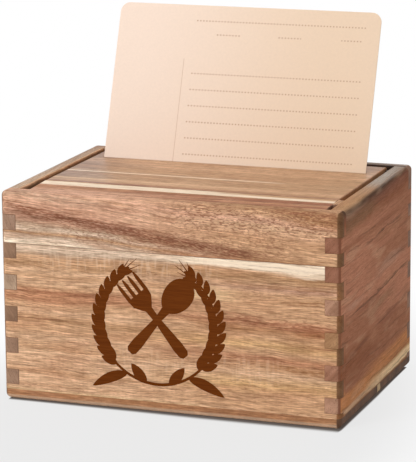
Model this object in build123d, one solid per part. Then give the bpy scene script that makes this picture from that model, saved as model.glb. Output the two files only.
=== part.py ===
# Recipe card box: a finger-jointed hardwood case with an inset pinned lid, and a display
# card that stands in a leaning slot in that lid.
# Millimetres, +Z up. The origin is on the tabletop under the middle of the case.
# The front is at -Y and the back at +Y.

import math
import os

from build123d import *

os.makedirs("parts", exist_ok=True)

# ---- the card that the box is built around ----
card_width = 152.4
card_height = 101.6
card_thickness = 0.6
card_corner = 3.0
card_side_room = 9.3  # from the card's edge to the side board
card_head_room = 0.2  # over an upright card, under the lid

# ---- case ----
storage_depth = 117.0  # front board to back board, inside
wall = 8.5
base_thickness = 5.5
corner_round = 3.0  # upright outer corners
rim_round = 2.6  # outer edge of the rim
foot_round = 2.8  # outer edge of the underside
rim_ease = 0.7  # inner edge of the rim

# ---- finger joints at the four corners, counted down from the rim ----
top_shoulder = 12.6
finger_height = 8.3
first_gap = 6.9
finger_gap = 9.0
least_remnant = 1.5  # the lowest finger ends at least this far over the base

# ---- lid ----
lid_thickness = 6.0
lid_recess = 0.2  # the lid's top lies this far under the rim
lid_side_gap = 3.2
lid_back_gap = 1.0
lid_front_gap = 0.8
lid_ease = 0.6
front_stave = 11.2
second_stave = 19.4
slot_land = 8.5  # wood in front of the slot, in the rear stave

# ---- fixed rail between the front board and the lid ----
rail_depth = 24.7
lip_depth = 7.8  # sapwood lip along the rail's rear edge
rail_front_drop = 0.9  # the rail's top slopes down this much towards the front
rail_ease = 0.4
packer_length = 11.0  # packer between the rail's right end and the side board

# ---- cleats that carry the rail and stop the lid ----
cleat_width = 8.0
cleat_height = 6.0
cleat_end_gap = 7.5  # from the cleat's rear end to the card rail
stop_clearance = 0.2  # lid to cleat

# ---- hinge pins ----
pin_radius = 1.5
pin_running_clearance = 0.05
pin_in_wall = 6.0
pin_in_lid = 9.5
pin_end_clearance = 0.5
pin_chamfer = 0.3

# ---- slot, card rail and display card ----
card_tilt = 20.0  # degrees back from upright
card_sink = 13.2  # along the card, below the lid's top
slot_setback = 22.2  # slot mouth to the back board
slot_width = 1.5
slot_end_clearance = 0.8
slot_floor_clearance = 0.2
card_rail_depth = 13.0
card_rail_ahead = 6.5  # from the slot's floor to the rail's front face
card_rail_web = 2.4  # wood under the slot's floor
card_rail_overhang = 3.0  # past each end of the slot
card_rail_ease = 1.2

# ---- sizes that follow ----
inner_width = card_width + 2 * card_side_room
case_width = inner_width + 2 * wall
case_depth = storage_depth + 2 * wall
clear_height = card_height + card_head_room
lid_bottom = base_thickness + clear_height
lid_top = lid_bottom + lid_thickness
case_height = lid_top + lid_recess

front_inner = -storage_depth / 2
back_inner = storage_depth / 2
side_inner = inner_width / 2
lid_length = inner_width - 2 * lid_side_gap

rail_rear = front_inner + rail_depth
lip_front = rail_rear - lip_depth
rail_bottom = lid_bottom - stop_clearance

lid_front = rail_rear + lid_front_gap
lid_rear = back_inner - lid_back_gap
hinge_y = lid_rear - lid_thickness / 2
hinge_z = lid_bottom + lid_thickness / 2

slot_y = back_inner - slot_setback
slot_length = card_width + 2 * slot_end_clearance
slot_drop = (card_sink + slot_floor_clearance) * math.cos(math.radians(card_tilt))
slot_floor_y = slot_y - slot_drop * math.tan(math.radians(card_tilt))
rear_stave_front = slot_y - slot_land
second_stave_front = lid_front + front_stave
third_stave_front = second_stave_front + second_stave

card_rail_front = slot_floor_y - card_rail_ahead
card_rail_bottom = lid_top - slot_drop - card_rail_web
card_rail_length = slot_length + 2 * card_rail_overhang

# The card and its slot lie in a frame at the slot's mouth, with Z up along the card.
slot_frame = Location((0, slot_y, lid_top), (-card_tilt, 0, 0))


def block(x0, x1, y0, y1, z0, z1):
    """A box between two corners."""
    size = Box(x1 - x0, y1 - y0, z1 - z0)
    return Location(((x0 + x1) / 2, (y0 + y1) / 2, (z0 + z1) / 2)) * size


def slab(y0, y1):
    """Everything between two upright planes across the case."""
    return block(-case_width, case_width, y0, y1, -case_height, 2 * case_height)


def layer(z0, z1):
    """Everything between two heights."""
    return block(-case_width, case_width, -case_depth, case_depth, z0, z1)


def bar(outline, length):
    """A bar along X whose section is a list of (y, z) corners."""
    section = Plane.YZ * make_face(Polyline(*outline, close=True))
    return extrude(section, length / 2, both=True)


def at_height(edge, z):
    """Whether an edge lies in a level plane."""
    box = edge.bounding_box()
    return abs(box.min.Z - z) < 0.01 and abs(box.max.Z - z) < 0.01


def finger_spans():
    """Heights of the side boards' fingers, from the rim down."""
    spans = []
    top = case_height - top_shoulder
    gap = first_gap
    while top - finger_height >= base_thickness + least_remnant:
        spans.append((top - finger_height, top))
        top -= finger_height + gap
        gap = finger_gap
    return spans


def rounded_case():
    """The case's outer form, with its corners and edges rounded."""
    form = block(-case_width / 2, case_width / 2, -case_depth / 2, case_depth / 2, 0, case_height)
    form = fillet(form.edges().filter_by(Axis.Z), corner_round)
    rim = [edge for edge in form.edges() if at_height(edge, case_height)]
    form = fillet(rim, rim_round)
    foot = [edge for edge in form.edges() if at_height(edge, 0)]
    return fillet(foot, foot_round)


def case_walls(form):
    """The ring of four walls over the base, with the rim's inner edge eased."""
    cavity = block(
        -side_inner, side_inner, front_inner, back_inner, -case_height, 2 * case_height
    )
    ring = (form - cavity) & layer(base_thickness, 2 * case_height)
    inner_rim = [
        edge
        for edge in ring.edges()
        if at_height(edge, case_height)
        and abs(edge.center().X) < side_inner + 0.01
        and abs(edge.center().Y) < back_inner + 0.01
    ]
    return fillet(inner_rim, rim_ease)


def finger_blocks():
    """The side boards' fingers at all four corners, as one cutter."""
    blocks = []
    for z0, z1 in finger_spans():
        for side in (-1, 1):
            for end in (-1, 1):
                x = sorted((side * side_inner, side * case_width))
                y = sorted((end * back_inner, end * case_depth))
                blocks.append(block(*x, *y, z0, z1))
    return blocks


def cross_board(walls, end):
    """Front (end -1) or back (end 1) board in two glued planks, upper first."""
    y = sorted((end * back_inner, end * case_depth))
    board = (walls & slab(*y)) - finger_blocks()
    glue_line = finger_spans()[1][1]
    return board & layer(glue_line, 2 * case_height), board & layer(0, glue_line)


def side_board(walls, side):
    """Left (side -1) or right (side 1) board with its fingers and blind pin hole."""
    x = sorted((side * side_inner, side * case_width))
    middle = block(*x, front_inner, back_inner, 0, 2 * case_height)
    fingers = [piece for piece in finger_blocks() if piece.center().X * side > 0]
    board = walls & middle.fuse(*fingers)
    hole = Cylinder(pin_radius, 2 * pin_in_wall, rotation=(0, 90, 0))
    return board - Location((side * side_inner, hinge_y, hinge_z)) * hole


def base_planks(form):
    """Two planks glued edge to edge under the walls, front first."""
    panel = form & layer(-case_height, base_thickness)
    return panel & slab(-case_depth, 0), panel & slab(0, case_depth)


def rail_pieces():
    """The fixed rail and its sapwood lip."""
    rear_top = lid_top
    front_top = rear_top - rail_front_drop
    outline = [
        (front_inner, rail_bottom),
        (rail_rear, rail_bottom),
        (rail_rear, rear_top),
        (front_inner, front_top),
    ]
    rail = bar(outline, lid_length)
    upper = [edge for edge in rail.edges() if edge.center().Z > lid_bottom + lid_thickness / 2]
    exposed = [edge for edge in upper if abs(edge.center().Y - front_inner) > 0.01]
    rail = fillet(exposed, rail_ease)
    return rail & slab(front_inner - 1, lip_front), rail & slab(lip_front, rail_rear + 1)


def packer():
    """Packer that fills the gap at the right end of the rail's lip."""
    x0 = lid_length / 2
    piece = block(x0, side_inner, rail_rear - packer_length, rail_rear, rail_bottom, lid_top)
    return fillet([edge for edge in piece.edges() if at_height(edge, lid_top)], rail_ease)


def cleat(side):
    """Cleat on a side board, under the rail's end and the lid's end."""
    x = sorted((side * (side_inner - cleat_width), side * side_inner))
    rear = card_rail_front - cleat_end_gap
    piece = block(*x, front_inner, rear, rail_bottom - cleat_height, rail_bottom)
    inner_x = side * (side_inner - cleat_width)
    low = [
        edge
        for edge in piece.edges().filter_by(Axis.Y)
        if abs(edge.center().X - inner_x) < 0.01 and edge.center().Z < rail_bottom - 0.01
    ]
    return chamfer(low, cleat_height / 3)


def hinge_pin(side):
    """Steel pin, pressed into the side board and turning in the lid's end."""
    inside = lid_length / 2 - pin_in_lid + pin_end_clearance
    outside = side_inner + pin_in_wall
    pin = Cylinder(pin_radius, outside - inside, rotation=(0, 90, 0))
    pin = chamfer(pin.edges().filter_by(GeomType.CIRCLE), pin_chamfer)
    return Location((side * (inside + outside) / 2, hinge_y, hinge_z)) * pin


def slot_cutter():
    """The leaning slot: a routed groove with round ends and a flat floor."""
    depth = card_sink + slot_floor_clearance
    groove = extrude(SlotOverall(slot_length, slot_width), depth + lid_thickness)
    return slot_frame * (Location((0, 0, -depth)) * groove)


def lid_staves(slot):
    """Four staves glued edge to edge, front first, with a round rear edge."""
    radius = lid_thickness / 2
    flat = block(-lid_length / 2, lid_length / 2, lid_front, hinge_y, lid_bottom, lid_top)
    nose = Location((0, hinge_y, hinge_z)) * Cylinder(radius, lid_length, rotation=(0, 90, 0))
    panel = flat + nose
    front_and_ends = [
        edge
        for edge in panel.edges()
        if at_height(edge, lid_top) or at_height(edge, lid_bottom)
        if edge.center().Y < hinge_y - 0.01
    ]
    panel = fillet(front_and_ends, lid_ease)
    hole = Cylinder(pin_radius + pin_running_clearance, 2 * pin_in_lid, rotation=(0, 90, 0))
    for side in (-1, 1):
        panel -= Location((side * lid_length / 2, hinge_y, hinge_z)) * hole
    panel -= slot
    cuts = [lid_front - 1, second_stave_front, third_stave_front, rear_stave_front, back_inner]
    return [panel & slab(cuts[i], cuts[i + 1]) for i in range(4)]


def card_rail(slot):
    """Grooved rail under the lid, which the card stands in and which ties the slot's sides."""
    half = card_rail_length / 2
    rear = card_rail_front + card_rail_depth
    rail = block(-half, half, card_rail_front, rear, card_rail_bottom, lid_bottom)
    low = [edge for edge in rail.edges() if at_height(edge, card_rail_bottom)]
    return fillet(low, card_rail_ease) - slot


def display_card():
    """Card with rounded corners, standing in the slot."""
    outline = Plane.XZ * RectangleRounded(card_width, card_height, card_corner)
    card = extrude(outline, card_thickness / 2, both=True)
    return slot_frame * (Location((0, 0, card_height / 2 - card_sink)) * card)


form = rounded_case()
walls = case_walls(form)
slot = slot_cutter()

pieces = {}
pieces["front_board_upper"], pieces["front_board_lower"] = cross_board(walls, -1)
pieces["back_board_upper"], pieces["back_board_lower"] = cross_board(walls, 1)
pieces["base_plank_front"], pieces["base_plank_rear"] = base_planks(form)
pieces["front_rail"], pieces["front_rail_lip"] = rail_pieces()
pieces["rail_packer"] = packer()
for name, side in (("left", -1), ("right", 1)):
    pieces[f"side_board_{name}"] = side_board(walls, side)
    pieces[f"cleat_{name}"] = cleat(side)
    pieces[f"hinge_pin_{name}"] = hinge_pin(side)
for name, stave in zip(("front", "second", "third", "rear"), lid_staves(slot)):
    pieces[f"lid_stave_{name}"] = stave
pieces["card_rail"] = card_rail(slot)
pieces["display_card"] = display_card()

for name, piece in pieces.items():
    export_step(piece, f"parts/{name}.step")

print(f"case {case_width:.1f} x {case_depth:.1f} x {case_height:.1f} mm")
print(f"hinge axis at y {hinge_y:.2f}, z {hinge_z:.2f}; slot mouth at y {slot_y:.2f}, z {lid_top:.2f}")
print(f"{len(pieces)} pieces")
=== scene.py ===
import functools
import math

import bmesh
import bpy
from mathutils import Matrix, Vector


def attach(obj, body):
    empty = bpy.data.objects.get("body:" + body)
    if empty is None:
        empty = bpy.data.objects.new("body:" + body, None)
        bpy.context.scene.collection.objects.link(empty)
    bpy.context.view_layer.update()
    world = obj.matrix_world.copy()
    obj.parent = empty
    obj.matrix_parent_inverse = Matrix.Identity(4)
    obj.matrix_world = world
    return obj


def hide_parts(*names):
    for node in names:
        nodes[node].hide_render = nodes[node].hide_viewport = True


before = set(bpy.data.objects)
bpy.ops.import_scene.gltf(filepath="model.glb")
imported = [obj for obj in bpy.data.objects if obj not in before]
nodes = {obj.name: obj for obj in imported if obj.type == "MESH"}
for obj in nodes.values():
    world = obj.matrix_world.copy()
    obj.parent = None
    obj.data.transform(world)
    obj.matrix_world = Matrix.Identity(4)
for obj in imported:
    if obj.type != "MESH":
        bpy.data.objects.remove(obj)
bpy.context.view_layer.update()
mm = 0.001
print("frame loaded:", len(nodes), "CAD nodes")


def linearColour(hexText):
    # sRGB hex to the linear colour that the shaders want
    channels = [int(hexText[i:i + 2], 16) / 255 for i in (1, 3, 5)]
    linear = [c / 12.92 if c <= 0.04045 else ((c + 0.055) / 1.055) ** 2.4 for c in channels]
    return (*linear, 1.0)


def addNode(tree, kind, inputs=None, output=0, **settings):
    # one shader node with its settings and links, and hex colours turned linear; hands back an output
    made = tree.nodes.new("ShaderNode" + kind)
    for name, value in settings.items():
        setattr(made, name, value)
    for socket, value in (inputs or {}).items():
        if isinstance(value, bpy.types.NodeSocket):
            tree.links.new(value, made.inputs[socket])
        else:
            made.inputs[socket].default_value = linearColour(value) if isinstance(value, str) else value
    return made.outputs[output] if made.outputs else made


smooth = {"interpolation_type": "SMOOTHSTEP"}  # a range eased at both ends
onColours = {"output": 2, "data_type": "RGBA"}  # a mix of two colours
noiseSpan = {1: 0.3, 2: 0.7}  # a range from where most of a noise's values lie
plus = {"operation": "ADD"}
minus = {"operation": "SUBTRACT"}
times = {"operation": "MULTIPLY"}
timesPlus = {"operation": "MULTIPLY_ADD"}  # the first times the second, plus the third
larger = {"operation": "MAXIMUM"}


def newMaterial(name):
    material = bpy.data.materials.new(name)
    material.use_nodes = True
    material.node_tree.nodes.clear()
    return material, functools.partial(addNode, material.node_tree)


def dress(material, nodeNames):
    # the material goes on CAD nodes, whose meshes stay as they are
    for nodeName in nodeNames:
        for holder in nodes[nodeName].material_slots:
            holder.material = material


def within(add, share, edges, **easing):
    # a share kept between edges; each has a way, and where along it there is none and where all
    for way, none, full in edges:
        fade = add("MapRange", {0: way, 1: none, 2: full}, **easing)
        share = add("Math", {0: share, 1: fade}, **times)
    return share


def closeMaterial(add, colour, roughness, relief, bump, inputs):
    # the shader that every material ends in; bump is its strength and its height in mm
    bumped = add("Bump", {"Strength": bump[0], "Distance": bump[1] * mm, "Height": relief})
    shader = add("BsdfPrincipled", {"Base Color": colour, "Roughness": roughness, "Normal": bumped,
                                    **inputs})
    add("OutputMaterial", {0: shader})


def edgeOf(nodeName, axis, end):
    # where a CAD node starts (end is min) or stops (end is max) along an axis, in mm
    return round(end(vertex.co[axis] for vertex in nodes[nodeName].data.vertices) / mm, 2)


def slabObject(name, slabs, material):
    # a mesh of thin slabs, each a ring of corners and the way that it is thickened, in m
    form = bmesh.new()
    for ring, thicken in slabs:
        face = form.faces.new([form.verts.new(corner) for corner in ring])
        thick = bmesh.ops.extrude_face_region(form, geom=[face])
        moved = [part for part in thick["geom"] if isinstance(part, bmesh.types.BMVert)]
        bmesh.ops.translate(form, verts=moved, vec=thicken)
    bmesh.ops.recalc_face_normals(form, faces=form.faces)
    mesh = bpy.data.meshes.new(name)
    form.to_mesh(mesh)
    form.free()
    mesh.materials.append(material)
    made = bpy.data.objects.new(name, mesh)
    bpy.context.scene.collection.objects.link(made)
    return made


frontFace = edgeOf("front_board_lower", 1, min)
backFace = edgeOf("back_board_lower", 1, max)
leftFace, rightFace = edgeOf("side_board_left", 0, min), edgeOf("side_board_right", 0, max)
rimTop = edgeOf("side_board_right", 2, max)
lidTop = edgeOf("lid_stave_front", 2, max)
plankJoint = edgeOf("front_board_lower", 2, max)

# Oiled acacia: solid wood, planed, sanded and wiped with oil. That gives the eye warm tan to
# red-brown heartwood in long wavy bands, thin dark lines, short pore dashes, cream sapwood
# and a low satin sheen.

acacia = {
    "ior": 1.5,
    "roughness": 0.58,
    "roughSpread": (0.07, -0.06),  # added between the fibres and on them
    "roughOpen": (0.2, 0.15),  # added in pores and on end grain
    "poreSink": 1.2,  # how deep pores are, against how far fibres stand up
    "bump": (0.22, 0.12),  # strength, mm high
    "wander": ((80.0, 26.0, 1.0, 0.0), (24.0, 6.0, 0.35, 40.0)),  # mm along and across, share, shift
    "endPore": 0.8,  # mm, spacing of pores seen end on
    "endPoreEdge": (0.36, 0.18),  # shares of that from a pore's middle, where its tone starts and is full
    "endPoreShare": 0.4,
    "endPoreTone": "#4A3328",
    "endShade": "#CFC6C0",  # the darker parts of a finger's end, against the paler
    "rings": (2.4, 12.5),  # mm across and deep, growth rings on end grain
    "seam": 0.16,  # mm, half width of a joint's dark line
    "clouds": ((0.52, 0.7, 0.3, "rose"), (0.48, 0.32, 0.25, "fawn")),  # noise at none and most, share, tone
    "turnDrift": 60.0,  # mm, how unevenly bands change to farBands
    "lineNoise": (0.52, 0.72),  # noise where a thin dark line starts and where it is full
    "poreNoise": (0.55, 0.68),  # the same of pores
    "speckNoise": (0.5, 0.6),  # the same of specks and ripples in a patch
    "streakFade": 12.0,  # mm, half of the way over which a streak's end fades
    "patchFades": (15.0, 8.0, 4.0, 2.0),  # mm, the same of a patch's start, end, foot and top
    "contrast": 0.42,  # how far fibres darken and lighten the wood
    "redden": (1.12, 1.25),  # powers of green and blue, since darker fibres are redder too
    "calming": 0.85,  # share of its fibres that pale sapwood loses
    "footTurn": (0.0, -0.35),  # the foot's painted light by how far the surface turns down, none and full
    "footRise": (3.4, 2.4),  # mm up, the same
    "endTurn": (0.32, 0.55),  # how squarely the fibres meet the surface, for none and all end grain
    "endShadeReach": 0.15,  # added, so that the darker end grain reaches further round right-hand corners than left-hand ones: painted shade on the right-hand corners, painted light on the left-hand ones
    "endPatch": (8.0, 16.0),  # mm across and deep, the paler and darker parts of end grain
    "seamShade": 0.6,
    "gapShadeDepth": (0.3, 2.1),  # mm below the rim where the painted shade in the lid's gap starts, and is full
    "gapShadeIn": (8.0, 8.4),  # mm in from the outer face, the same
    "ridge": (159.0, 159.2),  # mm, x + y at the edges of the painted shade line up a corner, and at its middle
}

# mm along and across the fibres, detail, roughness, shift
grainSizes = {
    "fibre": (7.0, 0.55, 3.0, 0.6, 9.0),  # drawn coarser than real fibres, so that they show
    "strand": (20.0, 1.3, 3.0, 0.6, 5.0),  # a bundle of fibres
    "line": (55.0, 1.2, 3.0, 0.6, 17.0),  # a thin dark growth line
    "rag": (14.0, 1.2, 3.0, 0.6, 13.0),  # the ragged edges of streaks
    "pore": (2.6, 0.5, 2.0, 0.5, 21.0),  # real pores are 0.2 wide
    "curl": (2.4, 0.9, 2.0, 0.6, 71.0),  # specks of pores in curly grain
    "crowd": (60.0, 9.0, 1.0, 0.5, 27.0),  # where pores crowd together
    "chatter": (1.5, 12.0, 2.0, 0.5, 61.0),  # the cross ripple of curly grain
    "cloud": (38.0, 9.0, 2.0, 0.5, 31.0),
}

# tones, from sapwood to the darkest heartwood, and last a near black for painted shade
wood = {
    "cream": "#FBE5CA",
    "sand": "#E0C4AA",
    "straw": "#E2C194",
    "fawn": "#DBB18D",
    "honey": "#D3A877",
    "tan": "#CFA27C",
    "blush": "#D9A98C",
    "hazel": "#B98E68",
    "rose": "#C08A67",
    "butter": "#FFDBAC",
    "clay": "#BE8062",
    "brick": "#A86E50",
    "mauve": "#A27059",
    "ash": "#BDA086",
    "mist": "#AEA398",
    "dun": "#AF8D76",
    "fallow": "#C0947A",
    "dusky": "#B6856C",
    "drab": "#99775E",
    "taupe": "#A5836B",
    "nut": "#A9764F",
    "ginger": "#CE8A58",
    "russet": "#9A5F44",
    "rust": "#945B3D",
    "umber": "#86543E",
    "dusk": "#916D55",
    "walnut": "#8A6446",
    "bark": "#5E4130",
    # a near black for painted shade in deep gaps, not a wood tone
    "pitch": "#2E2019",
}

fingers = {
    "tops": (100.9, 85.7, 68.4, 51.1, 33.8, 16.5),  # mm, the tops of the side boards' fingers
    "height": 8.3,  # mm
    "sideInner": edgeOf("side_board_right", 0, min),
    "endInner": edgeOf("back_board_lower", 1, min),
}

plainBoard = {
    "lay": "XZY",  # the axes along and across the grain, and into the board
    "face": 0.0,  # mm, where the shown face lies along the depth
    "slope": 0.0,  # mm across for each mm along
    "slant": 0.3,  # mm across for each mm deep
    "wave": 1.6,  # mm, how far the bands wander
    "feather": 1.3,  # mm, how ragged a streak's edges are
    "fray": 0.25,  # how much of a streak stays between its dark fibres
    "seed": 0.0,
    "bands": {0: "tan", 10: "honey"},  # tones at heights across the board, mm
    "farBands": None,  # the same towards +X or +Y, where they differ
    "turn": (-60.0, 60.0),  # mm along, where bands change to farBands
    "dark": "umber",  # the tone of lines and pores
    "lines": 0.5,  # how strong the thin dark lines are
    "fibres": 1.0,
    "pores": 0.45,
    "speckles": [],  # start, end, low, high and strength of a patch crowded with pores
    "ripples": [],  # the same of a patch where pale ripples cross the grain
    "ripple": 0.05,  # how far faint ripples lighten and darken the rest
    "streaks": [],  # height, slope, half width, start, end, strength, tone, and a bend if it has one
    "endLight": "#A07A62",  # end grain, where no endBands are given
    "endDark": "#6E5040",
    "endBands": None,  # the same for end grain, where it changes from finger to finger
    "glueLines": [],  # heights across, mm
    "glueTone": "#6B452F",
    "joinsAt": None,  # "front" for finger-jointed front and back boards, "side" for side boards
    "footWear": 0.3,  # the rounded foot is painted paler where it turns down: painted light against its shade, a painted reflection of the pale floor
    "gloss": 0.0,  # taken off the roughness
    "shine": 0.25,  # oil sinks into open grain, so less light is mirrored than by bare gloss
    "endStreaks": [],  # height across, half width, tone
    "innerBands": None,  # the same for end grain on the right that lies deeper in than endDepth
    "endDepth": 0.0,  # mm
    "gapStain": 0.0,  # share of painted shade low on the inner face beside the lid
    "cornerLine": 0.0,  # share of painted shade in a thin line up the rounded right-hand corners
}


def oiledAcacia(name, nodeNames, **changes):
    board = {**plainBoard, **changes}
    material, add = newMaterial(name)
    dress(material, nodeNames)
    facing = add("TexCoord", output=1)
    placeMm = add("VectorMath", {0: add("TexCoord", output=3), "Scale": 1000.0}, operation="SCALE")
    x, y, z = (add("SeparateXYZ", {0: placeMm}, output=i) for i in range(3))
    axes = {"X": x, "Y": y, "Z": z}
    along, across, depth = (axes[letter] for letter in board["lay"])
    deep = add("Math", {0: depth, 1: board["face"]}, **minus)
    sideways, endways, inward = (add("Math", {0: way}, operation="ABSOLUTE") for way in (x, y, deep))
    seeds = [board["seed"] * part for part in (3.1, 1.7, 2.3)]

    # the figure: height across the board, leaning into it and wandering along it
    figure = add("Math", {0: deep, 1: board["slant"], 2: across}, **timesPlus)
    figure = add("Math", {0: along, 1: -board["slope"], 2: figure}, **timesPlus)
    straight = add("CombineXYZ", {0: along, 1: across, 2: deep})
    for length, width, share, shift in acacia["wander"]:
        swing = share * board["wave"]
        scaled = add("VectorMath", {0: straight, 1: (1 / length, 1 / width, 1 / width),
                                    2: [s + shift for s in seeds]}, **timesPlus)
        drift = add("TexNoise", {"Vector": scaled, "Scale": 1.0, "Detail": 1.5, "Roughness": 0.5})
        drift = add("MapRange", {0: drift, 1: 0.25, 2: 0.75, 3: -swing, 4: swing})
        figure = add("Math", {0: figure, 1: drift}, **plus)

    # every size of grain lies along the fibres and follows the figure
    grainFrame = add("CombineXYZ", {0: along, 1: figure, 2: deep})
    grain = {}
    for kind, (length, width, detail, roughness, shift) in grainSizes.items():
        scaled = add("VectorMath", {0: grainFrame, 1: (1 / length, 1 / width, 1 / width),
                                    2: [s + shift for s in seeds]}, **timesPlus)
        grain[kind] = add("TexNoise", {"Vector": scaled, "Scale": 1.0, "Detail": detail,
                                       "Roughness": roughness})

    # heartwood and sapwood in broad bands across the board
    ramps = {}
    for kind, height in (("bands", figure), ("farBands", figure), ("endBands", across),
                         ("innerBands", across)):
        bands = board[kind]
        if bands:
            low, high = min(bands), max(bands)
            ramps[kind] = add("ValToRGB", {0: add("MapRange", {0: height, 1: low, 2: high})})
            stops = ramps[kind].node.color_ramp.elements
            while len(stops) < len(bands):
                stops.new(0.5)
            for stop, at in zip(stops, bands):
                stop.position = (at - low) / (high - low)
            for stop, tone in zip(stops, bands.values()):
                stop.color = linearColour(wood[tone])
    colour = ramps["bands"]
    if board["farBands"]:
        drift = acacia["turnDrift"]
        shifted = add("Math", {0: grain["cloud"], 1: drift, 2: along}, **timesPlus)
        start, end = (at + drift / 2 for at in board["turn"])
        share = add("MapRange", {0: shifted, 1: start, 2: end}, **smooth)
        colour = add("Mix", {0: share, 6: colour, 7: ramps["farBands"]}, **onColours)

    # clouds of redder and of yellower wood
    for none, full, most, tone in acacia["clouds"]:
        share = within(add, most, [(grain["cloud"], none, full)], **smooth)
        colour = add("Mix", {0: share, 6: colour, 7: wood[tone]}, **onColours)

    # streaks, broken up by the strands that make them
    ragged = add("MapRange", {0: grain["rag"], 1: 0.25, 2: 0.75, 3: -board["feather"], 4: board["feather"]})
    torn = add("Math", {0: grain["fibre"], 1: 0.2}, **times)
    torn = add("Math", {0: grain["strand"], 1: 0.3, 2: torn}, **timesPlus)
    torn = add("Math", {0: grain["pore"], 1: 0.5, 2: torn}, **timesPlus)
    broken = add("MapRange", {0: torn, 1: 0.4, 2: 0.55, 3: board["fray"], 4: 1.0})
    calm = 0.0  # pale sapwood shows less of its fibres
    fade = acacia["streakFade"]
    for middle, slope, half, start, end, strength, tone, *bend in board["streaks"]:
        if bend:
            slope = add("Math", {0: along, 1: bend[0], 2: slope}, **timesPlus)
        line = add("Math", {0: along, 1: slope, 2: middle}, **timesPlus)
        off = add("Math", {0: figure, 1: line}, **minus)
        off = add("Math", {0: off}, operation="ABSOLUTE")
        off = add("Math", {0: off, 1: ragged}, **plus)
        share = add("MapRange", {0: off, 1: half * 0.35, 2: half * 1.3, 3: strength, 4: 0.0}, **smooth)
        share = within(add, share, [(along, start - fade, start + fade), (along, end + fade, end - fade)],
                       **smooth)
        if tone in ("cream", "straw"):
            calm = add("Math", {0: share, 1: calm}, **larger)
        else:
            share = add("Math", {0: share, 1: broken}, **times)
        colour = add("Mix", {0: share, 6: colour, 7: wood[tone]}, **onColours)

    # thin dark lines, then fibres that lighten and darken what lies under them
    share = within(add, board["lines"], [(grain["line"], *acacia["lineNoise"])], **smooth)
    share = add("Math", {0: share, 1: broken}, **times)
    colour = add("Mix", {0: share, 6: colour, 7: wood[board["dark"]]}, **onColours)
    swing, ripple = acacia["contrast"] * board["fibres"], board["ripple"]
    calmed = add("Math", {0: calm, 1: acacia["calming"]}, **times)
    light = 1.0
    for kind, low, high, darkest, palest in (("fibre", 0.28, 0.72, 1 - swing * 1.1, 1 + swing * 0.9),
                                             ("strand", 0.3, 0.7, 1 + swing * 0.55, 1 - swing * 0.6),
                                             ("chatter", 0.3, 0.7, 1 - ripple, 1 + ripple)):
        part = add("MapRange", {0: grain[kind], 1: low, 2: high, 3: darkest, 4: palest})
        light = add("Math", {0: light, 1: part}, **times)
    fromPlain = add("Math", {0: 1.0, 1: light}, **minus)
    light = add("Math", {0: fromPlain, 1: calmed, 2: light}, **timesPlus)
    green, blue = (add("Math", {0: light, 1: power}, operation="POWER") for power in acacia["redden"])
    tint = add("CombineColor", {0: light, 1: green, 2: blue})
    colour = add("Mix", {0: 1.0, 6: colour, 7: tint}, blend_type="MULTIPLY", **onColours)

    # pores, cut open lengthways: short dark dashes, more of them in some patches
    crowd = add("MapRange", {0: grain["crowd"], 1: 0.35, 2: 0.65, 3: 0.25, 4: 1.0})
    poreShare = within(add, board["pores"], [(grain["pore"], *acacia["poreNoise"])], **smooth)
    poreShare = add("Math", {0: poreShare, 1: crowd}, **times)
    closed = add("Math", {0: 1.0, 1: calmed}, **minus)
    poreShare = add("Math", {0: poreShare, 1: closed}, **times)
    for kind, patches in (("curl", board["speckles"]), ("chatter", board["ripples"])):
        for start, end, low, high, strength in patches:
            edges = [(grain[kind], *acacia["speckNoise"])]
            sides = ((along, start, 1), (along, end, -1), (across, low, 1), (across, high, -1))
            for (way, at, sign), fade in zip(sides, acacia["patchFades"]):
                edges.append((way, at - sign * fade, at + sign * fade))
            share = within(add, strength, edges, **smooth)
            if kind == "curl":
                poreShare = add("Math", {0: poreShare, 1: share}, **larger)
            else:
                colour = add("Mix", {0: share, 6: colour, 7: wood["sand"]}, **onColours)
    colour = add("Mix", {0: poreShare, 6: colour, 7: wood[board["dark"]]}, **onColours)

    # the rounded foot, painted paler where it turns down: painted light, a painted reflection of the pale
    # floor
    up = add("SeparateXYZ", {0: facing}, output=2)
    share = within(add, board["footWear"], [(up, *acacia["footTurn"]), (z, *acacia["footRise"])], **smooth)
    colour = add("Mix", {0: share, 6: colour, 7: wood["cream"]}, **onColours)

    # end grain: pores seen end on, over slanted growth rings
    grainAxis = [float(letter == board["lay"][0]) for letter in axes]
    endFacing = add("VectorMath", {0: facing, 1: grainAxis}, output=1, operation="DOT_PRODUCT")
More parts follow.
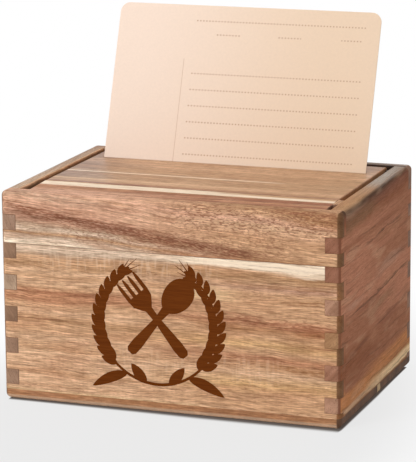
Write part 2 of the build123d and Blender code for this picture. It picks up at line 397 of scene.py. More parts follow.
    # painted shade: the darker end grain reaches further round the right-hand corners, leaving the
    # left-hand ones painted lighter
    endFacing = add("Math", {0: endFacing, 1: acacia["endShadeReach"]}, **plus)
    endFacing = add("Math", {0: endFacing}, operation="ABSOLUTE")
    endShare = within(add, 1.0, [(endFacing, *acacia["endTurn"])], **smooth)
    ringPlace = add("CombineXYZ", {0: figure, 1: deep})
    wide, thick = acacia["rings"]
    scaled = add("VectorMath", {0: ringPlace, 1: (1 / wide, 1 / thick, 1.0), 2: seeds}, **timesPlus)
    rings = add("TexNoise", {"Vector": scaled, "Scale": 1.0, "Detail": 3.0, "Roughness": 0.6})
    patchPlace = add("CombineXYZ", {0: across, 1: deep})
    wide, thick = acacia["endPatch"]
    scaled = add("VectorMath", {0: patchPlace, 1: (1 / wide, 1 / thick, 1.0), 2: seeds}, **timesPlus)
    patches = add("TexNoise", {"Vector": scaled, "Scale": 1.0, "Detail": 1.0})
    endTone = add("Math", {0: patches, 1: rings}, **plus)
    endTone = add("MapRange", {0: endTone, 1: 0.7, 2: 1.3})
    endLight, endDark = board["endLight"], board["endDark"]
    if board["endBands"]:
        endLight = ramps["endBands"]
        endDark = add("Mix", {0: 1.0, 6: endLight, 7: acacia["endShade"]}, blend_type="MULTIPLY",
                      **onColours)
    endColour = add("Mix", {0: endTone, 6: endDark, 7: endLight}, **onColours)
    dots = add("TexVoronoi", {"Vector": ringPlace, "Scale": 1 / acacia["endPore"]})
    dots = within(add, acacia["endPoreShare"], [(dots, *acacia["endPoreEdge"])], **smooth)
    endColour = add("Mix", {0: dots, 6: endColour, 7: acacia["endPoreTone"]}, **onColours)
    for middle, half, tone in board["endStreaks"]:
        off = add("Math", {0: figure, 1: middle}, **minus)
        off = add("Math", {0: off}, operation="ABSOLUTE")
        share = add("MapRange", {0: off, 1: half * 0.6, 2: half, 3: 0.85, 4: 0.0}, **smooth)
        endColour = add("Mix", {0: share, 6: endColour, 7: wood[tone]}, **onColours)
    if board["innerBands"]:
        onRight = add("Math", {0: x, 1: 0.0}, operation="GREATER_THAN")
        share = within(add, onRight, [(deep, board["endDepth"] - 0.2, board["endDepth"] + 0.2)])
        endColour = add("Mix", {0: share, 6: endColour, 7: ramps["innerBands"]}, **onColours)
    colour = add("Mix", {0: endShare, 6: colour, 7: endColour}, **onColours)

    # painted shade: low in the lid's gap, and in a thin line up the right-hand corners
    if board["gapStain"]:
        start, full = (rimTop - depth for depth in acacia["gapShadeDepth"])
        share = within(add, board["gapStain"], [(inward, *acacia["gapShadeIn"]), (z, start, full)], **smooth)
        colour = add("Mix", {0: share, 6: colour, 7: wood["bark"]}, **onColours)
    if board["cornerLine"]:
        cornerwards = add("Math", {0: x, 1: endways}, **plus)
        share = within(add, board["cornerLine"], [(cornerwards, *acacia["ridge"])], **smooth)
        colour = add("Mix", {0: share, 6: colour, 7: wood["umber"]}, **onColours)

    # glue lines between planks, and the hairline round every finger of the corner joints
    seam = 0.0
    for height in board["glueLines"]:
        line = add("Math", {0: across, 1: height, 2: acacia["seam"] * 1.5}, operation="COMPARE")
        seam = add("Math", {0: seam, 1: line}, **larger)
    if board["joinsAt"]:
        pastSide = add("Math", {0: sideways, 1: fingers["sideInner"] - 0.1}, operation="GREATER_THAN")
        pastEnd = add("Math", {0: endways, 1: fingers["endInner"] - 0.1}, operation="GREATER_THAN")
        inCorner = add("Math", {0: pastSide, 1: pastEnd}, **times)
        inSpan, half = 0.0, fingers["height"] / 2
        for top in fingers["tops"]:
            span = add("Math", {0: z, 1: top - half, 2: half}, operation="COMPARE")
            inSpan = add("Math", {0: inSpan, 1: span}, **larger)
            for height in (top, top - fingers["height"]):
                line = add("Math", {0: z, 1: height, 2: acacia["seam"]}, operation="COMPARE")
                line = add("Math", {0: line, 1: inCorner}, **times)
                seam = add("Math", {0: seam, 1: line}, **larger)
        inner = {0: sideways, 1: fingers["sideInner"], 2: acacia["seam"]}
        if board["joinsAt"] == "side":  # here the front's fingers end, in the spans between
            inSpan = add("Math", {0: 1.0, 1: inSpan}, **minus)
            inner = {0: endways, 1: fingers["endInner"], 2: acacia["seam"]}
        upright = add("Math", inner, operation="COMPARE")
        upright = add("Math", {0: upright, 1: inSpan}, **times)
        seam = add("Math", {0: seam, 1: upright}, **larger)
    seam = add("Math", {0: seam, 1: acacia["seamShade"]}, **times)
    colour = add("Mix", {0: seam, 6: colour, 7: board["glueTone"]}, **onColours)

    # roughness and relief: pores are open, fibres stand a little proud
    between, onFibres = (acacia["roughness"] - board["gloss"] + more for more in acacia["roughSpread"])
    roughness = add("MapRange", {0: grain["fibre"], **noiseSpan, 3: between, 4: onFibres})
    for share, more in zip((poreShare, endShare), acacia["roughOpen"]):
        roughness = add("Math", {0: share, 1: more, 2: roughness}, **timesPlus)
    relief = add("Math", {0: poreShare, 1: -acacia["poreSink"], 2: grain["fibre"]}, **timesPlus)
    closeMaterial(add, colour, roughness, relief, acacia["bump"],
                  {"IOR": acacia["ior"], "Specular IOR Level": board["shine"]})


# the right board's tones, which the front boards' end grain runs on into
rightBands = {0: "rust", 6.2: "nut", 7.2: "fawn", 8.4: "fawn", 9.8: "ginger", 16: "ginger", 19: "brick",
              26: "rust", 36: "rust", 40: "brick", 54: "brick", 60: "clay", 90: "clay", 94: "brick",
              98: "clay", 102: "brick", 106: "rust", 109.5: "umber", 112.2: "bark", 113.6: "bark",
              115.2: "hazel", 124: "hazel"}
frontBoard = {
    "face": frontFace,
    "joinsAt": "front",
    "shine": 0.08,
    "glueLines": [plankJoint],
    "endDepth": 5.4,
    "innerBands": rightBands,
}
oiledAcacia(
    "oiled acacia, upper front plank", ["front_board_upper"], **frontBoard,
    seed=3.0, slope=-0.07, feather=1.8, fray=0.05,
    bands={79: "cream", 81.4: "cream", 83: "sand", 84.2: "sand", 85.6: "ash", 86.8: "hazel",
           88.8: "sand", 90.6: "ash", 92.5: "fallow", 96: "fallow", 98.8: "blush", 112: "blush"},
    farBands={88: "rose", 91: "hazel", 94: "tan", 101: "tan", 104.5: "fawn", 107.5: "fawn", 110: "blush",
              113: "tan", 118: "hazel", 121: "tan", 124: "blush"},
    turn=(-50, 50),
    streaks=[
        (93, -0.035, 3.3, -90, 50, 1, "umber", 0.0003), (97, -0.03, 1.2, -94, 0, 0.5, "russet"),
        (100.5, -0.02, 1, -110, -45, 0.45, "russet"), (106.5, 0, 0.8, -62, 6, 0.6, "russet"),
        (110, 0.02, 0.8, -50, 30, 0.5, "nut"), (113.5, 0, 5, 66, 110, 0.85, "nut"),
        (115.5, 0.02, 1.6, 55, 110, 0.5, "russet"), (118.2, 0, 1.3, 36, 110, 0.25, "umber"),
        (85.5, 0.06, 0.9, 22, 110, 0.5, "umber"), (107, 0, 2.6, -110, -38, 0.6, "ash"),
    ],
    speckles=[(0, 95, 99, 114, 0.7), (-90, -62, 89, 100, 0.3), (-62, -20, 88, 101, 0.6),
              (-30, 70, 86, 99, 0.5)],
    endBands={85: "walnut", 113: "walnut"},
)
oiledAcacia(
    "oiled acacia, lower front plank", ["front_board_lower"], **frontBoard,
    # a strong painted light on the rounded foot
    seed=11.0, slope=-0.012, slant=0.6, lines=0.45, fray=0.15, footWear=0.9,
    endBands={1: "nut", 8: "nut", 16: "walnut", 51: "walnut", 61: "nut", 68: "nut", 78: "walnut",
              85: "walnut"},
    bands={0: "sand", 3: "sand", 5: "straw", 7: "fawn", 14: "fawn", 16.5: "tan", 18.5: "fawn",
           26.5: "fawn", 29: "tan", 35.5: "fawn", 39: "tan", 42.5: "tan", 44.5: "hazel", 47: "tan",
           48.8: "fawn", 53.5: "tan", 56: "rose", 60: "rose", 62.5: "tan", 65.5: "fawn", 68.5: "tan",
           71.5: "fawn", 74.5: "hazel", 77.5: "tan", 79: "tan", 81.5: "ash", 83.5: "sand", 86.5: "sand"},
    farBands={0: "rose", 3: "tan", 4.8: "fawn", 7.5: "tan", 15: "tan", 20: "honey", 26: "fawn",
              30: "tan", 35: "rose", 38.5: "tan", 42: "honey", 47: "tan", 50.5: "nut", 53.5: "rose",
              56.5: "tan", 69: "tan", 72: "fallow", 76: "hazel", 78.5: "hazel", 80.9: "tan",
              82.7: "cream", 86.5: "cream"},
    turn=(-30, 40),
    streaks=[
        (74.5, -0.02, 1, 30, 110, 0.5, "nut"), (67, 0, 3.4, 6, 32, 0.7, "straw"),
        (59, -0.02, 1.4, -90, -30, 0.5, "russet"), (58.5, -0.075, 3, 28, 104, 0.75, "russet"),
        (47, -0.02, 3, 64, 110, 0.5, "nut"), (65.5, 0, 2, 62, 110, 0.65, "nut"),
        (45.3, 0, 0.5, -94, -50, 0.6, "umber"), (37.5, -0.05, 1.6, 36, 110, 0.5, "russet"),
        (30, 0, 2.4, 56, 110, 0.95, "nut"), (9.5, 0.01, 0.7, -94, -20, 0.4, "nut"),
        (4, 0, 0.8, -20, 110, 0.2, "nut"), (84.2, 0, 2.2, 10, 110, 1, "cream"),
        (80.9, 0, 1.3, 66, 110, 0.65, "cream"),
    ],
    ripples=[(-70, 24, 74, 86, 0.3), (-40, 60, 20, 34, 0.15)],
)

oiledAcacia(
    "oiled acacia, back planks", ["back_board_upper", "back_board_lower"],
    face=backFace, seed=19.0, joinsAt="front", slope=0.01, slant=-1.0,
    bands={0: "nut", 10: "tan", 24: "honey", 33: "rose", 40: "tan", 60: "ash", 66: "russet", 72: "tan",
           86: "blush", 95: "tan", 104: "rose", 112: "taupe", 122: "taupe"},
    streaks=[
        (70, 0.03, 2, -100, 70, 0.7, "umber"), (31, -0.03, 1.6, -60, 100, 0.6, "russet"),
        # the last two streaks, over the right-hand half of the rim, are painted shade: greyer where the
        # card's shadow falls, near black down the gap behind the lid
        (98, 0.02, 1.2, -30, 100, 0.6, "umber"), (115, 0, 3, 44, 110, 0.9, "mist"),
        (121.6, 0, 4.6, 44, 110, 1, "pitch"),
    ],
    fray=0.8, glueLines=[plankJoint],
)

oiledAcacia(
    "oiled acacia, right board", ["side_board_right"],
    lay="YZX", face=rightFace, seed=27.0, slope=0.02, slant=-1.0,
    # a thin painted shade line up its rounded right-hand corners
    joinsAt="side", cornerLine=0.8,
    dark="bark", fibres=0.36, pores=0.3, ripple=0.02, shine=0.04, gloss=-0.05, fray=0.6,
    endBands={8: "fallow", 18: "fallow", 24: "dusky", 35: "dusky", 40: "hazel", 52: "hazel",
              58: "fallow", 70: "fallow", 75: "mauve", 102: "mauve"},
    bands=rightBands,
    # towards the rear the rim top is painted greyer, in taupe and ash here and the mist streak below:
    # painted shade where the card's shadow falls
    farBands={0: "rust", 6.2: "nut", 7.2: "butter", 10.5: "butter", 12: "honey", 13.2: "ginger",
              19.5: "ginger", 23: "brick", 36: "brick", 46: "clay", 66: "clay", 70: "brick", 98: "brick",
              104: "rust", 109.5: "umber", 112.2: "bark", 113.6: "bark", 115.2: "taupe", 124: "ash"},
    turn=(-36, 24),
    streaks=[
        (98, 0.01, 3.2, -20, 34, 0.6, "clay"), (90, 0, 2.6, 4, 40, 0.6, "clay"),
        (82, 0.01, 2.2, 0, 36, 0.6, "clay"), (68, 0.02, 4, 2, 44, 0.6, "fallow"),
        (62, 0, 2, -56, -30, 0.6, "fallow"), (107, 0.02, 4.2, -70, -6, 0.8, "walnut"),
        (51, 0.02, 3, -6, 30, 0.5, "walnut"), (38, 0.02, 3, 2, 34, 0.5, "umber"),
        (94.5, 0, 1.4, -80, 30, 0.5, "russet"), (88.6, 0, 0.5, -20, 40, 0.8, "bark"),
        (91, 0, 0.4, -56, -16, 0.6, "umber"), (57.8, 0.018, 0.8, -46, 56, 0.7, "bark"),
        (36.8, 0.03, 1, -52, -16, 0.6, "umber"), (39.5, 0.03, 1, 0, 60, 0.6, "umber"),
        (48.5, 0, 0.7, 10, 26, 0.6, "umber"), (12.2, 0.03, 0.8, 8, 66, 0.5, "umber"),
        (69.2, 0, 1.8, 36, 62, 0.5, "umber"), (57, 0.018, 2.2, -34, 2, 0.45, "umber"),
        (119, 0, 6, 6, 110, 1, "mist"),
    ],
    glueLines=[5.8],
)
oiledAcacia(
    "oiled acacia, left board", ["side_board_left"],
    lay="YZX", face=leftFace, seed=35.0, slant=2.0, joinsAt="side",
    endBands={8: "taupe", 38: "taupe", 42: "drab", 52: "drab", 58: "ash", 70: "ash", 76: "drab",
              86: "drab", 92: "dun", 102: "dun"},
    bands={0: "nut", 12: "tan", 26: "rose", 38: "russet", 46: "tan", 66: "honey", 78: "rose", 84: "tan",
           98: "blush", 106: "tan", 112: "tan", 115: "mist", 120: "ash", 127: "ash", 128.5: "honey",
           131: "clay"},
    streaks=[
        (80, -0.02, 1.6, -80, 40, 0.7, "umber"), (41, 0.02, 1.8, -60, 80, 0.6, "umber"),
        (20, 0, 0.8, -30, 80, 0.6, "russet"), (120, 0, 9, 4, 110, 0.7, "drab"),
    ],
    # painted shade low on the inner face, in the lid's gap
    gapStain=0.75,
)

oiledAcacia(
    "oiled acacia, base planks", ["base_plank_front", "base_plank_rear"],
    lay="XYZ", seed=43.0, slant=0.2, wave=0.8,
    endLight="#7E5A42", endDark="#513A2B",
    bands={-67: "nut", -50: "tan", -30: "honey", -10: "rose", 0: "tan", 3: "straw", 8: "honey",
           30: "tan", 48: "nut", 67: "tan"},
    endStreaks=[(4.0, 3.6, "straw")],
    glueLines=[0.0],
)

oiledAcacia(
    "oiled acacia, fixed rail", ["front_rail"],
    lay="XYZ", face=113.0, seed=51.0, slope=0.02,
    bands={-60: "blush", -56: "rose", -51: "blush", -46: "rose", -41: "rose"},
    farBands={-60: "rose", -56: "russet", -51: "rose", -46: "russet", -41: "rose"},
    streaks=[(-51, 0.05, 1.2, -10, 90, 0.75, "umber"), (-54.5, 0, 0.8, -60, 20, 0.5, "russet"),
             (-57.5, 0, 3, -46, 50, 0.7, "russet"), (-43.2, 0, 1.6, -100, 50, 0.9, "nut")],
    turn=(-60, 20),
)
oiledAcacia(
    "acacia sapwood, sanded and oiled", ["front_rail_lip"],
    lay="XYZ", face=lidTop, seed=57.0, dark="tan", fibres=0.35,
    bands={-42: "cream", -34: "cream"},
    farBands={-42: "cream", -38.2: "cream", -37: "tan", -34: "hazel"},
    turn=(0, 50), wave=0.4, lines=0.25, pores=0.15, ripple=0.02,
)

lidStaves = {  # seed, bands and streaks
    "lid_stave_front": (
        63.0, {-34: "taupe", -31: "nut", -27: "tan", -22.5: "tan"},
        # the straw streak here and the cream one on the next stave lie at the stave joints: pale glue, with
        # painted highlights on the joints' edges
        [(-31, 0, 1.4, -90, -20, 0.9, "umber"), (-22.6, 0, 0.8, -90, 30, 0.7, "straw")]),
    "lid_stave_second": (
        69.0, {-22: "tan", -18: "hazel", -10: "hazel", -3.5: "hazel"},
        [(-13, 0, 1, -40, 90, 0.4, "nut"), (-3.4, 0, 1.1, -90, 40, 0.9, "cream")]),
    "lid_stave_third": (
        75.0, {-3: "hazel", 13: "hazel", 18: "tan", 28: "hazel"},
        [(0.4, 0, 1.8, -90, 0, 0.5, "fawn"), (10, 0.01, 1.4, -30, 90, 0.4, "nut"),
         (24, 0, 3.2, -90, -10, 0.5, "fawn")]),
    "lid_stave_rear": (
        81.0, {27: "tan", 34: "hazel", 44: "nut", 58: "hazel"},
        [(30, 0, 2.4, -90, -30, 0.5, "fawn"), (31, 0, 1.4, -20, 80, 0.4, "nut")]),
}
for staveName, (seed, bands, streaks) in lidStaves.items():
    # the left end is painted greyer, a painted reflection of light from behind on the left, but less so
    # near the rail
    leftReflection = {at: "hazel" if at < -21 else "dusk" for at in bands}
    oiledAcacia(
        f"oiled acacia, {staveName}", [staveName],
        lay="XYZ", face=lidTop, seed=seed, gloss=0.2, shine=0.27,
        # end grain painted paler than on the other boards: painted light on the lid's ends, down in the gap
        # beside the rims
        endLight="#C48D64", endDark="#A67850",
        bands=leftReflection, farBands=bands, turn=(-92, -36),
        streaks=streaks, lines=0.35, fibres=0.8, wave=0.5, feather=0.5,
    )

oiledAcacia(
    "oiled acacia, cleats", ["cleat_left", "cleat_right", "rail_packer"],
    lay="YXZ", face=101.1, seed=87.0,
    bands={-86: "tan", -40: "rose", 40: "rose", 86: "tan"},
)
oiledAcacia(
    "oiled acacia, card rail", ["card_rail"],
    lay="XYZ", face=98.3, seed=93.0,
    bands={24: "tan", 30: "honey", 34: "rose", 40: "tan"},
)
print("wood done")

# Laser-burned acacia: the beam chars the wood to one deep brown, crisp at its edges. That gives
# the eye a flat matt mark in which the grain shows only faintly.

burn = {
    "middle": (-6.0, 48.0),  # x and z on the front board, mm
    "size": 1.13,
    "ring": 29.0,  # mm, radius of the two stems
    "stem": 1.3,  # mm
    "stemTaper": (1.15, 0.65),  # shares of that at a stem's foot and tip
    "stemSpan": (-14.0, 138.0),  # degrees round from the bottom
    "earSpan": (46.0, 142.0),
    "kernel": (8.4, 4.0),  # mm long and wide
    "kernelLean": 27.0,  # degrees away from the stem
    "kernelStep": 9.4,  # degrees
    "kernelApart": (1.5, 0.3),  # degrees and mm, how far the two of a pair shift along and out
    "kernelTaper": 0.22,  # how much smaller the last ones are
    "belly": 0.85,  # under 1 moves a kernel's or leaf's widest part towards its tip
    "bluntness": 0.71875,  # power, lower is blunter
    "awn": 11.0,  # mm
    "awns": ((-26, 0.75), (-10, 1.0), (8, 1.0), (24, 0.75)),  # degrees off the stem, share of the length
    "leaf": (19.0, 5.2),  # mm
    "leaves": ((31.0, 42.0, 1.0, 0.011), (11.0, -30.0, 0.6, -0.011)),  # degrees round and off, share, bend
    "toolTilt": 40.0,  # degrees from upright, the spoon one way and the fork the other
    "toolAt": (1.0, 3.0),  # mm from the middle, out and up
    "toolLength": 46.0,  # mm
    "bowl": (7.0, 9.6),  # mm, half its width and length
    "tines": (-5.1, -1.7, 1.7, 5.1),  # mm across
    "charDark": "#5E2B04",
    "charPale": "#6F3709",
    "grain": (16.0, 0.8),  # mm along and across
    "roughness": (0.82, 0.7),  # between the fibres and on them
    "shine": 0.08,
    "proud": 0.02,  # mm, so that the mark isn't lost in the board's face
    "sunk": 0.3,  # mm
    "apart": 0.0005,  # mm, each shape in front of the last, where they overlap
}


def charredAcacia():
    material, add = newMaterial("laser-burned acacia")
    long, fine = (1 / (size * mm) for size in burn["grain"])
    grain = add("VectorMath", {0: add("TexCoord", output=3), 1: (long, long, fine)}, **times)
    fibre = add("TexNoise", {"Vector": grain, "Scale": 1.0, "Detail": 3.0, "Roughness": 0.6})
    share = add("MapRange", {0: fibre, 1: 0.35, 2: 0.7})
    colour = add("Mix", {0: share, 6: burn["charDark"], 7: burn["charPale"]}, **onColours)
    between, onFibres = burn["roughness"]
    roughness = add("MapRange", {0: fibre, **noiseSpan, 3: between, 4: onFibres})
    closeMaterial(add, colour, roughness, fibre, (0.15, 0.1),
                  {"IOR": acacia["ior"], "Specular IOR Level": burn["shine"]})
    return material


def leafShape(length, width):
    # a pointed oval from the origin along +y, as a ring of (x, y) corners
    steps, right = 12, []
    for i in range(1, steps):
        bulge = math.sin(math.pi * (i / steps) ** burn["belly"]) ** burn["bluntness"]
        right.append((width / 2 * bulge, length * i / steps))
    return [(0.0, 0.0), *right, (0.0, length), *[(-x, y) for x, y in reversed(right)]]


def strip(points, widths):
    # a flat strip along a line of points, with a width at each
    left, right = [], []
    for i, (x, y) in enumerate(points):
        before = points[max(i - 1, 0)]
        after = points[min(i + 1, len(points) - 1)]
        run = math.hypot(after[0] - before[0], after[1] - before[1])
        nx, ny = -(after[1] - before[1]) / run, (after[0] - before[0]) / run
        left.append((x + nx * widths[i] / 2, y + ny * widths[i] / 2))
        right.append((x - nx * widths[i] / 2, y - ny * widths[i] / 2))
    return left + right[::-1]


def turned(shape, degrees, place):
    # turned clockwise from +y, then moved
    a = math.radians(degrees)
    return [(x * math.cos(a) + y * math.sin(a) + place[0], y * math.cos(a) - x * math.sin(a) + place[1])
            for x, y in shape]


def wheatEar(side):
    # one stem of the ring with its kernels, awns and leaves; side is -1 or 1
    ring = burn["ring"]

    def onRing(degrees, radius=ring):
        a = math.radians(degrees)
        return side * radius * math.sin(a), -radius * math.cos(a)

    def heading(degrees):
        # along the stem there, in degrees clockwise from up
        return side * (90 - degrees)

    (first, last), (wide, narrow) = burn["stemSpan"], burn["stemTaper"]
    steps = 40
    bends = [onRing(first + (last - first) * i / steps) for i in range(steps + 1)]
    thins = [burn["stem"] * (wide + (narrow - wide) * i / steps) for i in range(steps + 1)]
    shapes = [strip(bends, thins)]
    length, width = burn["kernel"]
    (start, tip), (shift, out) = burn["earSpan"], burn["kernelApart"]
    at = start
    while at < tip:
        size = 1.0 - burn["kernelTaper"] * (at - start) / (tip - start)
        for lean in (-1, 1):
            foot = onRing(at + shift * lean, ring + out * lean)
            kernel = leafShape(length * size, width * size)
            shapes.append(turned(kernel, heading(at) + lean * burn["kernelLean"], foot))
        at += burn["kernelStep"]
    shapes.append(turned(leafShape(length * 0.9, width * 0.85), heading(tip), onRing(tip - 4)))
    for lean, share in burn["awns"]:
        reach = burn["awn"] * share
        awn = strip([(0, 0), (0.3, reach / 2), (0.9, reach)], [0.7, 0.5, 0.15])
        shapes.append(turned(awn, heading(tip) + lean, onRing(tip)))
    length, width = burn["leaf"]
    for at, lean, share, bend in burn["leaves"]:
        blade = [(x + side * bend * y * y, y) for x, y in leafShape(length * share, width)]
        shapes.append(turned(blade, heading(at) + side * lean, onRing(at)))
    return shapes


def toolHandle(top, topWidth):
    half = burn["toolLength"] / 2
    return strip([(0, top), (0, half - 24), (0, 0), (0, 6 - half), (0, 1.5 - half), (0, -half)],
                 [topWidth, 3.2, 3.0, 5.6, 5.2, 2.8])


def spoonShapes():
    half = burn["toolLength"] / 2
    wide, long = burn["bowl"]
    bowl, steps = [], 36
    for i in range(steps):
        a = 2 * math.pi * i / steps
        bowl.append((wide * math.sin(a) * (1 + 0.1 * math.cos(a)), long * math.cos(a) + half - 9))
    return [bowl, toolHandle(half - 17, 4.6)]


def forkShapes():
    half = burn["toolLength"] / 2
    neck = half - 19
    head = [(1.3, neck), (3.4, neck + 2.6), (5.6, neck + 5.6), (6.1, neck + 9.6)]
    head = head + [(-x, y) for x, y in reversed(head)]
    tines = [strip([(x, neck + 8.6), (x, half - 3), (x, half)], [2.0, 1.8, 0.7]) for x in burn["tines"]]
    return [head, toolHandle(neck + 1, 3.8), *tines]


def burnedMark():
    tilt = burn["toolTilt"]
    out, up = burn["toolAt"]
    shapes = wheatEar(-1) + wheatEar(1)
    shapes += [turned(shape, tilt, (out, up)) for shape in spoonShapes()]
    shapes += [turned(shape, -tilt, (-out, up)) for shape in forkShapes()]
    middleX, middleZ = burn["middle"]
    inwards = Vector((0, (burn["proud"] + burn["sunk"]) * mm, 0))
    slabs = []
    for i, shape in enumerate(shapes):
        y = frontFace - burn["proud"] - burn["apart"] * i
        ring = [Vector((middleX + x * burn["size"], y, middleZ + z * burn["size"])) * mm for x, z in shape]
        slabs.append((ring, inwards))
    mark = slabObject("burned_wheat_ring", slabs, charredAcacia())
    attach(mark, "case")


burnedMark()
print("burned mark done")

# Ground steel rod, oil-blackened: a dark grey metal with fine rings round it and a soft gleam.

pin = {
    "colour": "#4B4744",
    "dark": "#35312F",
    "roughness": (0.28, 0.46),  # least and most
    "grind": 0.35,  # mm between rings
}


def groundSteel():
    material, add = newMaterial("ground steel rod, oil-blackened")
    scale = (1 / (pin["grind"] * mm), 60.0, 60.0)
    rings = add("VectorMath", {0: add("TexCoord", output=3), 1: scale}, **times)
    grinding = add("TexNoise", {"Vector": rings, "Scale": 1.0, "Detail": 2.0})
    least, most = pin["roughness"]
    roughness = add("MapRange", {0: grinding, **noiseSpan, 3: least, 4: most})
    tone = add("MapRange", {0: grinding, **noiseSpan})
    colour = add("Mix", {0: tone, 6: pin["colour"], 7: pin["dark"]}, **onColours)
    closeMaterial(add, colour, roughness, grinding, (0.1, 0.02), {"Metallic": 1.0})
    return material


dress(groundSteel(), ("hinge_pin_left", "hinge_pin_right"))

# Uncoated card stock, offset printed: matt, faintly mottled, warm cream with thin brown dotted rules.

card = {
    "tilt": 20.0,  # degrees back from upright
    "mouth": (36.3, lidTop),  # y and z of the slot's mouth, mm
    "sink": 13.2,  # mm below the mouth
    "left": "#F5DECC",
    "right": "#ECD1B6",
    "shadeSpan": (-70.0, 60.0),  # mm, where the left tone gives way to the right
    "fibre": 1.25,  # mm
    "mottle": (0.975, 1.015),  # how far that darkens and lightens the stock
    "roughness": (0.72, 0.84),
    "ink": "#CBA588",
    "rules": [62.9, 53.8, 44.7, 35.6, 26.5, 17.4, 8.3],  # heights on the card, mm
    "ruleStart": -30.6,
    "ruleEnd": 68.4,
    "titleRule": 92.8,
    "shortRules": [(85.2, -18.0, -3.4), (85.2, 18.2, 31.6), (85.2, 54.6, 66.2)],
    "divider": (-35.3, 8.0, 71.0),  # x, lowest and highest end
    "corner": 5.5,  # mm
    "dotPitch": 0.9,  # mm, from the middle of a dot to the middle of its gap
    "dotEdge": (0.42, 0.52),  # mm from a gap's middle, where the ink starts and where it is full
    "ruleHalf": 0.36,  # mm
    "dividerHalf": 0.16,
    "dividerInk": 0.7,
    "inkSpread": 0.12,
}


def printedCard():
    material, add = newMaterial("card stock, printed")
    lean = math.radians(card["tilt"])
    facing = add("TexCoord", output=1)
    placeMm = add("VectorMath", {0: add("TexCoord", output=3), "Scale": 1000.0}, operation="SCALE")
    x = add("SeparateXYZ", {0: placeMm}, output=0)
    fromMouth = add("VectorMath", {0: placeMm, 1: (0.0, *card["mouth"])}, **minus)
    upCard = add("VectorMath", {0: fromMouth, 1: (0.0, math.sin(lean), math.cos(lean))}, output=1,
                 operation="DOT_PRODUCT")
    height = add("Math", {0: upCard, 1: card["sink"]}, **plus)

    # dots along every rule, and the plain divider beside them
    cell = add("Math", {0: x, 1: card["dotPitch"]}, operation="PINGPONG")
    dots = add("MapRange", {0: cell, 1: card["dotEdge"][0], 2: card["dotEdge"][1]})
    rules = [(v, card["ruleStart"], card["ruleEnd"]) for v in (card["titleRule"], *card["rules"])]
    half = card["ruleHalf"]
    strokes = [(start, end, v - half, v + half, dots) for v, start, end in rules + card["shortRules"]]
    dividerX, low, high = card["divider"]
    half = card["dividerHalf"]
    strokes.append((dividerX - half, dividerX + half, low, high, card["dividerInk"]))
    soft = card["inkSpread"]
    ink = 0.0
    for left, right, low, high, stroke in strokes:
        edges = [(x, left - soft, left + soft), (x, right + soft, right - soft),
                 (height, low - soft, low + soft), (height, high + soft, high - soft)]
        stroke = within(add, stroke, edges)
        ink = add("Math", {0: ink, 1: stroke}, **larger)
    front = add("VectorMath", {0: facing, 1: (0.0, -math.cos(lean), math.sin(lean))}, output=1,
                operation="DOT_PRODUCT")
    ink = within(add, ink, [(front, 0.6, 0.8)])  # only on the card's face

    across = add("MapRange", {0: x, 1: card["shadeSpan"][0], 2: card["shadeSpan"][1]}, **smooth)
    stock = add("Mix", {0: across, 6: card["left"], 7: card["right"]}, **onColours)
    fibres = add("TexNoise", {"Vector": placeMm, "Scale": 1 / card["fibre"], "Detail": 3.0,
                              "Roughness": 0.6})
    mottle, roughness = (add("MapRange", {0: fibres, **noiseSpan, 3: low, 4: high})
                         for low, high in (card["mottle"], card["roughness"]))
    mottleTint = add("CombineColor", {0: mottle, 1: mottle, 2: mottle})
    stock = add("Mix", {0: 1.0, 6: stock, 7: mottleTint}, blend_type="MULTIPLY", **onColours)
    colour = add("Mix", {0: ink, 6: stock, 7: card["ink"]}, **onColours)
    closeMaterial(add, colour, roughness, fibres, (0.025, 0.03), {"IOR": 1.45})
    return material


def cardSheet():
    # cut to the size and place of the CAD card, with its corners rounded off more
    lean = math.radians(card["tilt"])
    upCard = Vector((0.0, math.sin(lean), math.cos(lean)))
    outward = Vector((0.0, -math.cos(lean), math.sin(lean)))
    corners = [vertex.co for vertex in nodes["display_card"].data.vertices]
    ranges = []
    for axis in (Vector((1.0, 0.0, 0.0)), upCard, outward):
        reach = [corner.dot(axis) for corner in corners]
        ranges.append((min(reach), max(reach)))
    (left, right), (low, high), (rear, front) = ranges
    radius, steps = card["corner"] * mm, 8
    outline = []
    for x, height, start in ((right, high, 0), (left, high, 90), (left, low, 180), (right, low, 270)):
        middleX = x - math.copysign(radius, x)
        middleHeight = height - radius if height == high else height + radius
        for step in range(steps + 1):
            a = math.radians(start + 90 * step / steps)
            outline.append((middleX + radius * math.cos(a), middleHeight + radius * math.sin(a)))
    ring = [Vector((x, 0.0, 0.0)) + upCard * height + outward * front for x, height in outline]
    sheet = slabObject("card_sheet", [(ring, outward * (rear - front))], printedCard())
    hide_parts("display_card")
    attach(sheet, "card")


cardSheet()
print("card done")

# the studio: a pale floor, white all round, one large soft lamp at the front left, one overhead
# and a weak one behind

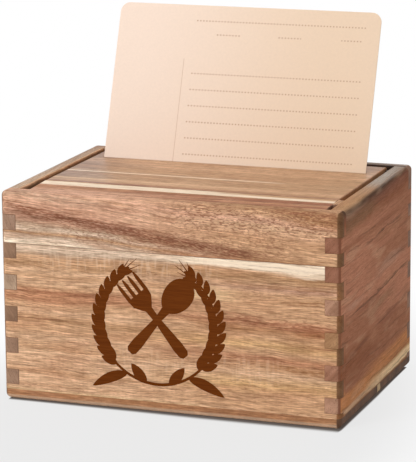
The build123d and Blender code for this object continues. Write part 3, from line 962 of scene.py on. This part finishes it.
studio = {
    "floorColour": "#ECECEC",
    "white": "#FFFFFF",  # round the floor's pale oval, and all round the scene
    "floorSize": 6.0,  # m
    "palePatch": (0.0, -0.14, 0.125, 0.27),  # m, middle and half sizes of the pale oval under the case
    "paleFade": (0.8, 1.5),  # where that tone starts to whiten and where it is white, in its half sizes
    "floorGlow": 0.9,  # how much the floor's own tone holds against shadow
    "footShadowTone": "#4A403A",  # painted shadow where the case stands on the floor
    "footShade": (0.0022, 0.0078),  # m in front of the case, where that ends and where it has faded out
    "footEdges": {"right": (0.0934, 4.2), "left": (0.0905, 3.6), "back": (0.058, 3.0),
                  "front": (0.0655, 1.0)},  # m from the middle, and how much faster it fades than in front
    "footThins": ((-0.094, 0.02, 1.7, 1.0), (0.0, 0.056, 1.0, 2.2)),  # in x and y: m from and to, weights
    "worldGlow": 0.42,
    "aimHeight": 0.08,  # m
    "lamps": {  # W, place and size in m, and whether surfaces mirror it
        "key_lamp": (30.0, (-1.25, -1.9, 1.35), 1.0, True),
        "top_lamp": (10.0, (-0.3, -0.35, 1.9), 1.6, True),
        "fill_lamp": (12.0, (-0.5, 2.3, 1.1), 1.4, False),  # it only lifts the shade behind
    },
}


def seenRays(add):
    # 1 for what the camera sees, straight or in a mirror or through glass, and 0 for light on its way
    cameraRay, glossyRay, passingRay = (add("LightPath", output=i) for i in (0, 3, 6))
    shown = add("Math", {0: cameraRay, 1: glossyRay}, **larger)
    return add("Math", {0: shown, 1: passingRay}, **larger)


def studioFloor():
    mesh = bpy.data.meshes.new("studio_floor")
    half = studio["floorSize"] / 2
    corners = [(-half, -half, 0), (half, -half, 0), (half, half, 0), (-half, half, 0)]
    mesh.from_pydata(corners, [], [(0, 1, 2, 3)])
    floor = bpy.data.objects.new("studio_floor", mesh)
    bpy.context.scene.collection.objects.link(floor)
    material, add = newMaterial("matt studio floor")
    place = add("TexCoord", output=3)
    middleX, middleY, halfX, halfY = studio["palePatch"]
    fromMiddle = add("VectorMath", {0: place, 1: (middleX, middleY, 0.0)}, **minus)
    inOval = add("VectorMath", {0: fromMiddle, 1: (1 / halfX, 1 / halfY, 0.0)}, **times)
    away = add("VectorMath", {0: inOval}, output=1, operation="LENGTH")
    whiten = add("MapRange", {0: away, 1: studio["paleFade"][0], 2: studio["paleFade"][1]}, **smooth)
    hold = add("MapRange", {0: whiten, 3: studio["floorGlow"], 4: 1.0})

    # how far a point lies outside the case; counted longer to the sides and behind, for a thinner shade
    x, y = (add("SeparateXYZ", {0: place}, output=i) for i in (0, 1))
    outside = 0.0
    for side, way, sign in (("right", x, 1), ("left", x, -1), ("back", y, 1), ("front", y, -1)):
        edge, weight = studio["footEdges"][side]
        past = add("Math", {0: way, 1: sign * weight, 2: -edge * weight}, **timesPlus)
        past = add("Math", {0: past, 1: 0.0}, **larger)
        outside = add("Math", {0: past, 1: past, 2: outside}, **timesPlus)
    outside = add("Math", {0: outside}, operation="SQRT")
    # the shade thins out towards the left and the back
    for way, (start, end, atStart, atEnd) in zip((x, y), studio["footThins"]):
        thin = add("MapRange", {0: way, 1: start, 2: end, 3: atStart, 4: atEnd})
        outside = add("Math", {0: outside, 1: thin}, **times)
    near, far = studio["footShade"]
    foot = add("MapRange", {0: outside, 1: near, 2: far, 3: 1.0, 4: 0.0}, **smooth)
    seen = add("Math", {0: hold, 1: seenRays(add)}, **times)
    floorTone = add("Mix", {0: whiten, 6: studio["floorColour"], 7: studio["white"]}, **onColours)
    # the painted shadow round the case's foot
    shadedTone = add("Mix", {0: foot, 6: floorTone, 7: studio["footShadowTone"]}, **onColours)
    matt = add("BsdfDiffuse", {0: floorTone})
    glow = add("Emission", {0: shadedTone, 1: 1.0})
    surface = add("MixShader", {0: seen, 1: matt, 2: glow})
    add("OutputMaterial", {0: surface})
    mesh.materials.append(material)


def studioWorld():
    world = bpy.data.worlds.new("studio")
    world.use_nodes = True
    world.node_tree.nodes.clear()
    add = functools.partial(addNode, world.node_tree)
    strength = add("MapRange", {0: seenRays(add), 3: studio["worldGlow"], 4: 1.0})
    background = add("Background", {0: studio["white"], 1: strength})
    add("OutputWorld", {0: background})
    bpy.context.scene.world = world


def softLamp(name, power, place, size, mirrored):
    lamp = bpy.data.lights.new(name, "AREA")
    lamp.energy = power
    lamp.size = size
    holder = bpy.data.objects.new(name, lamp)
    holder.location = place
    holder.visible_glossy = mirrored
    aim = Vector((0.0, 0.0, studio["aimHeight"])) - Vector(place)
    holder.rotation_mode = "QUATERNION"
    holder.rotation_quaternion = aim.to_track_quat("-Z", "Y")
    bpy.context.scene.collection.objects.link(holder)


studioFloor()
studioWorld()
for lampName, values in studio["lamps"].items():
    softLamp(lampName, *values)

camera = {
    "turn": 19.88,  # degrees towards the right end
    "rise": 12.804,
    "roll": -0.427,
    "focusHeight": 60.0,  # mm
    "distance": 1468.8,  # mm
    "sideways": 1.79,  # mm
    "raised": 23.15,  # mm
    "focal": 2706.8,  # in pixels of a frame 416 wide and 462 high
    "longSide": 462.0,
}


def placeCamera():
    turn, rise, roll = (math.radians(camera[k]) for k in ("turn", "rise", "roll"))
    forward = Vector((-math.sin(turn) * math.cos(rise), math.cos(turn) * math.cos(rise), -math.sin(rise)))
    level = Vector((math.cos(turn), math.sin(turn), 0.0))
    up = level.cross(forward)
    right = level * math.cos(roll) + up * math.sin(roll)
    up = right.cross(forward)
    eye = Vector((0.0, 0.0, camera["focusHeight"])) - forward * camera["distance"]
    eye += up * camera["raised"] - right * camera["sideways"]
    data = bpy.data.cameras.new("camera")
    data.sensor_width = 36.0
    data.lens = camera["focal"] * data.sensor_width / camera["longSide"]
    data.clip_start = 0.05
    data.clip_end = 20.0
    holder = bpy.data.objects.new("camera", data)
    turnMatrix = Matrix((right, up, -forward)).transposed()
    holder.matrix_world = Matrix.Translation(eye * mm) @ turnMatrix.to_4x4()
    bpy.context.scene.collection.objects.link(holder)
    bpy.context.scene.camera = holder


placeCamera()
bpy.context.scene.view_settings.view_transform = "Standard"
print("studio done")
